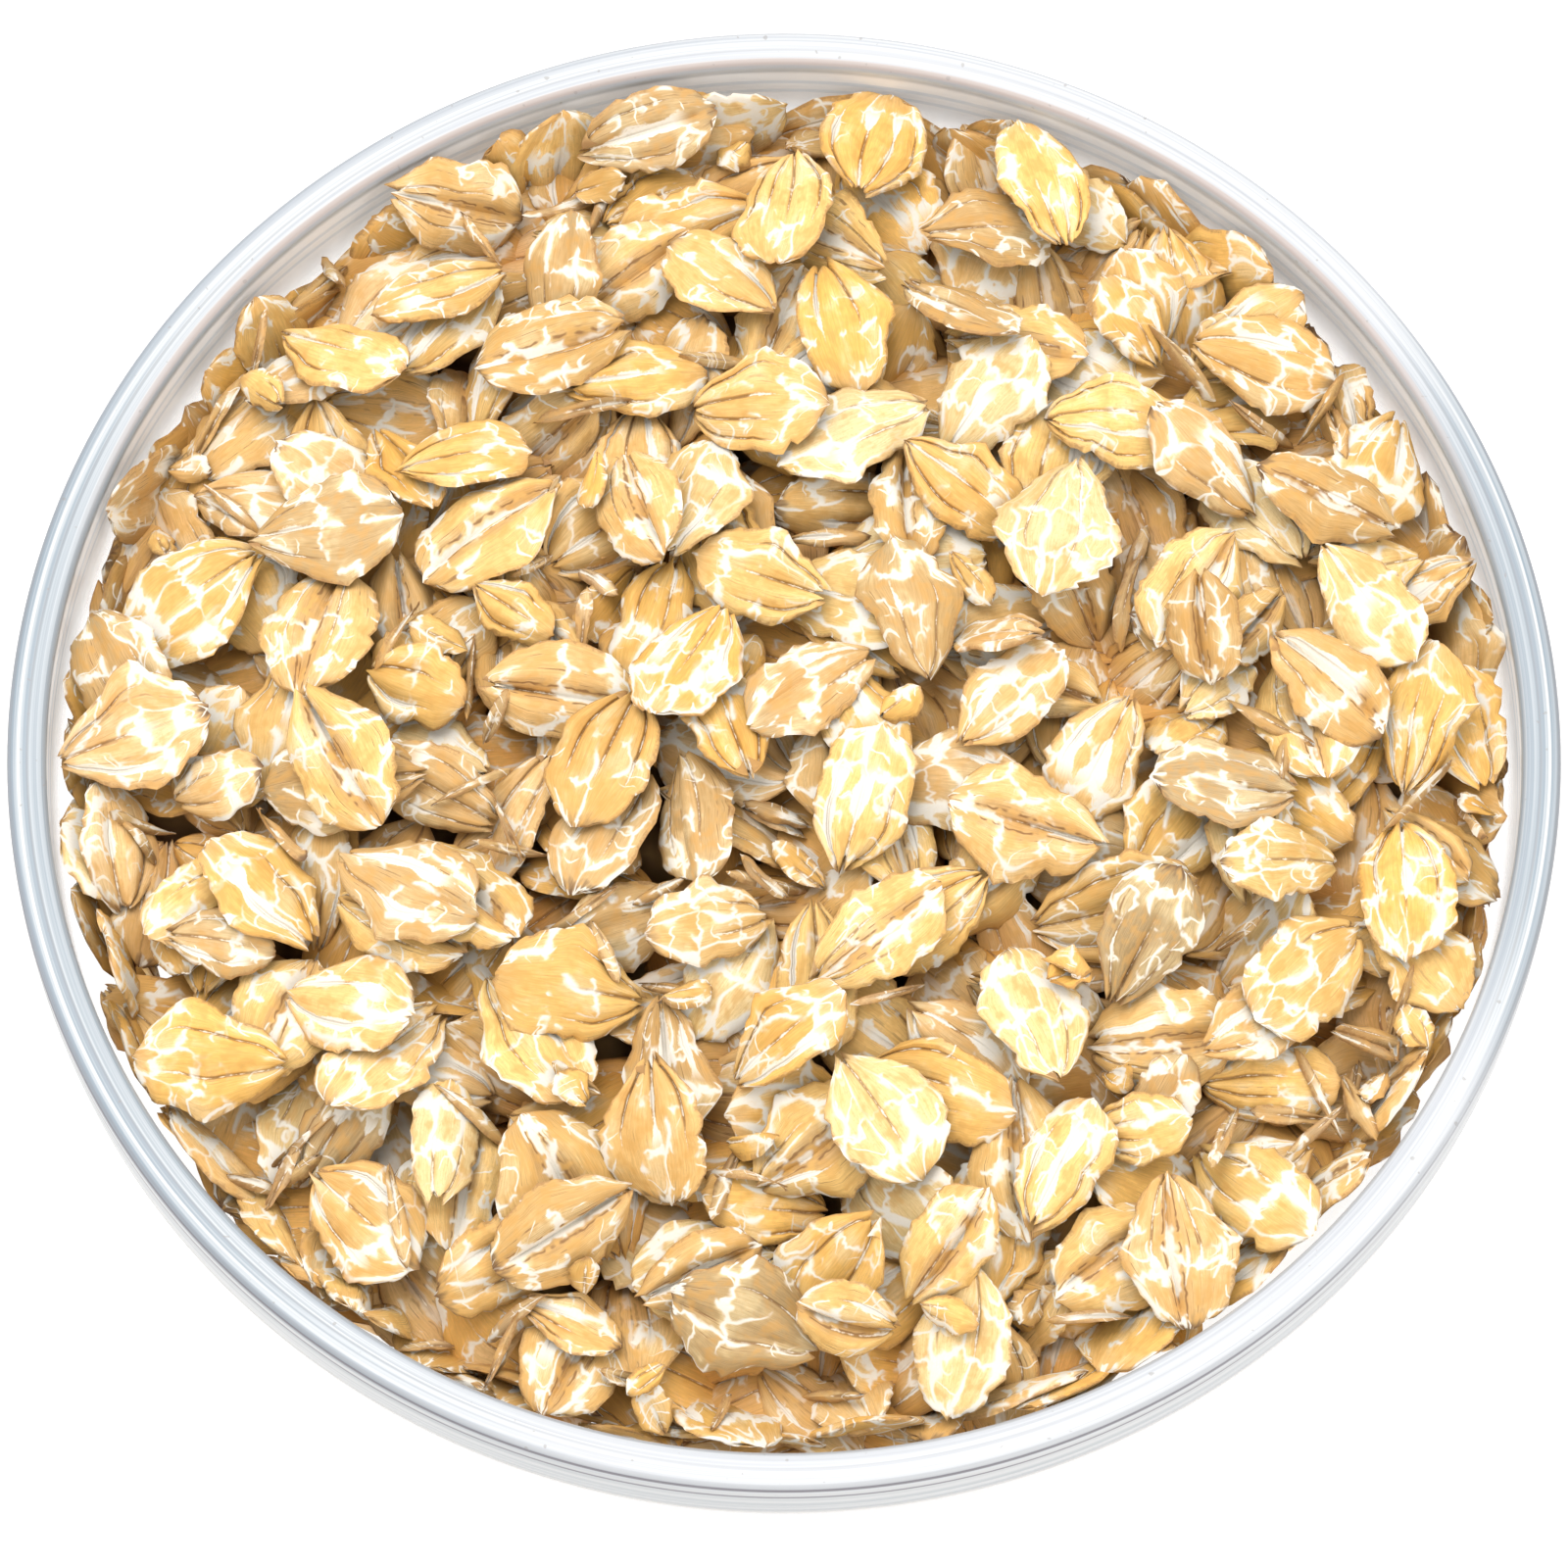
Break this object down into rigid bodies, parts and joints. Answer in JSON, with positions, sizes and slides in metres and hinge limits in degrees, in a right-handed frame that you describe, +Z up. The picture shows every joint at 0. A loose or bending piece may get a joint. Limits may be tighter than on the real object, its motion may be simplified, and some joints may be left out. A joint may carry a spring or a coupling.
{
  "type": "bowl of crushed barley",
  "caption": "Round clear bowl with a rounded side and a flat foot, heaped just over its rim with flattened, cracked barley grains.",
  "frame": {"origin": "centre of the bowl's foot, on the surface that it stands on", "axes": "+Z up along the bowl's axis; +X and +Y level, with the picture's camera towards -Y"},
  "size_m": [0.095, 0.095, 0.0427],
  "materials": {
    "clear_bowl": "clear, colourless, smooth moulded plastic with a polished rim",
    "barley": "dry flattened grain: golden-tan husk in cracked plates over white starch, matt with a faint husk sheen"
  },
  "bodies": {
    "root": {"bowl": "clear_bowl", "barley_heap": "barley"}
  },
  "joints": []
}
